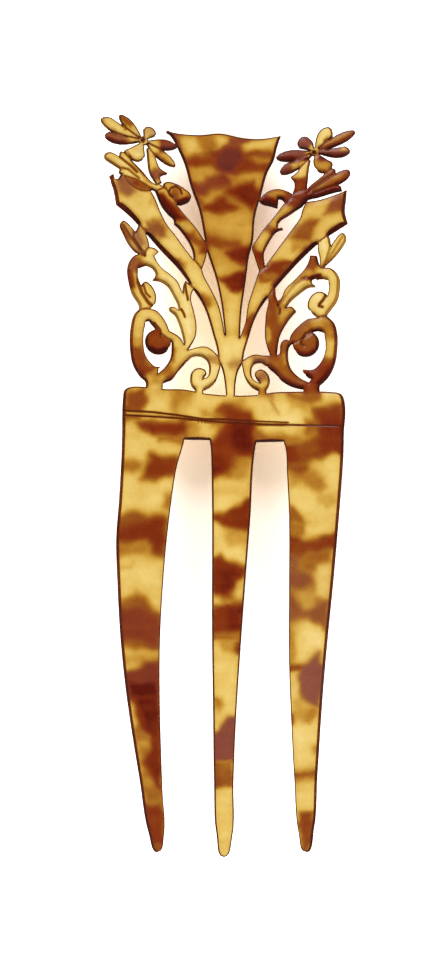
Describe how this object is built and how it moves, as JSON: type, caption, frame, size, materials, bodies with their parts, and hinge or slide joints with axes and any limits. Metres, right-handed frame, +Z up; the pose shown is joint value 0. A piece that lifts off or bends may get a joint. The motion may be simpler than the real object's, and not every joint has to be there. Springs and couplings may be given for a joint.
{
  "type": "decorative hair comb",
  "caption": "Bowed hair comb with long tapering prongs under a plain heading and a pierced, carved crest of fan, scrolls, leaves and flowers, in mottled amber.",
  "frame": {"origin": "on the line under the heading bar where the hair bears when the comb is pushed home, at the middle of the plate's thickness on the bow's centre line", "axes": "+Z up to the crest and -Z down the prongs; +X to the right as seen from the hollow side; -Y towards a viewer of the hollow side, +Y away"},
  "size_m": [0.0512, 0.0086, 0.1484],
  "materials": {
    "tortoiseshell": "polished translucent sheet, amber mottled with red-brown"
  },
  "bodies": {
    "root": {"heading_bar": "tortoiseshell", "left_prong": "tortoiseshell", "centre_prong": "tortoiseshell", "right_prong": "tortoiseshell", "crest_neck": "tortoiseshell", "centre_fan": "tortoiseshell", "left_plume": "tortoiseshell", "right_plume": "tortoiseshell", "left_stem": "tortoiseshell", "right_stem": "tortoiseshell", "left_curl": "tortoiseshell", "right_curl": "tortoiseshell", "left_spray": "tortoiseshell", "left_lens_leaf": "tortoiseshell", "right_spray": "tortoiseshell", "right_under_leaf": "tortoiseshell", "left_flower_stalk": "tortoiseshell", "right_flower_stalk": "tortoiseshell", "left_flower_eye": "tortoiseshell", "right_flower_eye": "tortoiseshell", "left_petal_1": "tortoiseshell", "left_petal_2": "tortoiseshell", "left_petal_3": "tortoiseshell", "left_petal_4": "tortoiseshell", "left_petal_5": "tortoiseshell", "left_petal_6": "tortoiseshell", "left_petal_7": "tortoiseshell", "right_petal_1": "tortoiseshell", "right_petal_2": "tortoiseshell", "right_petal_3": "tortoiseshell", "right_petal_4": "tortoiseshell", "right_petal_5": "tortoiseshell", "right_petal_6": "tortoiseshell", "right_petal_7": "tortoiseshell", "left_outer_sprig": "tortoiseshell", "right_outer_sprig": "tortoiseshell", "left_upper_scroll": "tortoiseshell", "right_upper_scroll": "tortoiseshell", "left_acanthus": "tortoiseshell", "right_acanthus": "tortoiseshell", "left_lower_ring": "tortoiseshell", "right_lower_ring": "tortoiseshell", "left_ring_disc": "tortoiseshell", "right_ring_disc": "tortoiseshell", "left_base_scroll": "tortoiseshell", "right_base_scroll": "tortoiseshell"}
  },
  "joints": []
}
